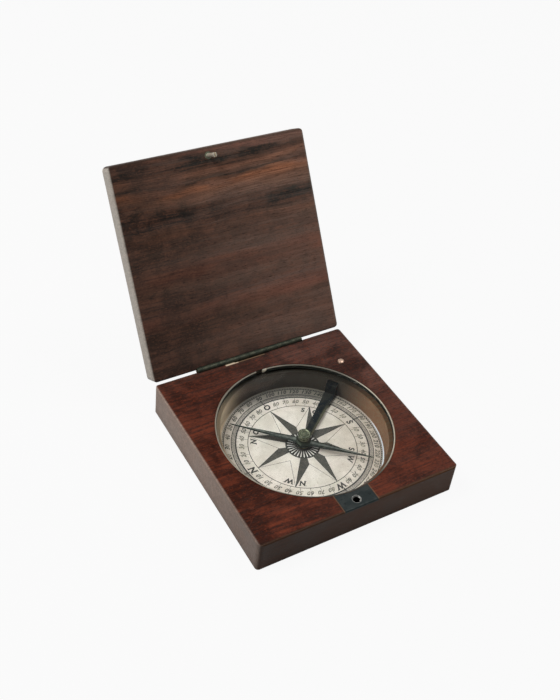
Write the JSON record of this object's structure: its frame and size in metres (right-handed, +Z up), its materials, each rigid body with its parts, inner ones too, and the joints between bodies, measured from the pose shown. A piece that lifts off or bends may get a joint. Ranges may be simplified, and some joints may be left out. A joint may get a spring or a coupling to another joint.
{
  "type": "magnetic compass",
  "caption": "Pocket compass in a square wooden case with a hinged lid, glazed well, printed card, pivoted needle and a push pin that lifts the needle when the lid shuts.",
  "frame": {"origin": "centre of the case's underside", "axes": "+X to the right along the hinge, +Y from the front edge to the hinge, +Z up"},
  "size_m": [0.08, 0.1284, 0.0815],
  "materials": {
    "mahogany": "old polished mahogany with dark figure",
    "patinated_brass": "dark green-brown patina",
    "dull_brass": "aged, worn bright on the edges",
    "copper_brass": "polished by use",
    "blackened_brass": "darkened sheet",
    "blackened_steel": "dark blue-grey, worn",
    "blued_steel": "blued, dulled with age",
    "bright_steel": "plain",
    "agate": "polished stone",
    "printed_card": "aged printed paper",
    "glass": "clear, slightly green at the edge"
  },
  "bodies": {
    "case": {"case_base": "mahogany", "hinge_leaf_base": "patinated_brass", "hinge_pin": "patinated_brass", "hinge_screws_base": "dull_brass", "bezel_ring": "dull_brass", "cover_glass": "glass", "compass_card": "printed_card", "pivot_bush": "dull_brass", "pivot_post": "bright_steel", "lifter_fulcrum": "dull_brass", "fulcrum_pin": "bright_steel", "strike_plate": "blackened_steel", "strike_plate_pins": "blackened_steel"},
    "lid": {"lid_board": "mahogany", "hinge_leaf_lid": "patinated_brass", "hinge_screws_lid": "dull_brass", "catch_plate": "patinated_brass", "catch_stud": "dull_brass"},
    "lever": {"lifter_lever": "blackened_brass"},
    "push_pin": {"lifter_pin": "copper_brass"},
    "jewel": {"cap_jewel": "agate"},
    "pointer": {"needle": "blued_steel", "needle_cap": "dull_brass"}
  },
  "joints": [
    {"name": "lid_hinge", "type": "hinge", "parent": "case", "child": "lid", "pos_m": [0, 0.0404, 0.0125], "axis": [1, 0, 0], "range_deg": [0, 122.4]},
    {"name": "push_pin_slide", "type": "slide", "parent": "case", "child": "push_pin", "axis": [0, 0, -1], "range_m": [0, 0.000872]},
    {"name": "lever_tilt", "type": "hinge", "parent": "case", "child": "lever", "pos_m": [0.01882, 0.0138, 0.00225], "axis": [-0.6211, 0.7837, 0], "range_deg": [0, 3.51]},
    {"name": "jewel_lift", "type": "slide", "parent": "case", "child": "jewel", "axis": [0, 0, 1], "range_m": [0, 0.00108]},
    {"name": "needle_spin", "type": "hinge", "parent": "jewel", "child": "pointer", "pos_m": [0.0004, -0.0008, 0.0069], "axis": [0, 0, 1], "continuous": true}
  ],
  "couplings": [
    {"joint": "push_pin_slide", "follows": "lid_hinge", "m_per_rad": 0.00040725},
    {"joint": "lever_tilt", "follows": "lid_hinge", "ratio": 0.028667},
    {"joint": "jewel_lift", "follows": "lid_hinge", "m_per_rad": 0.00050615}
  ]
}
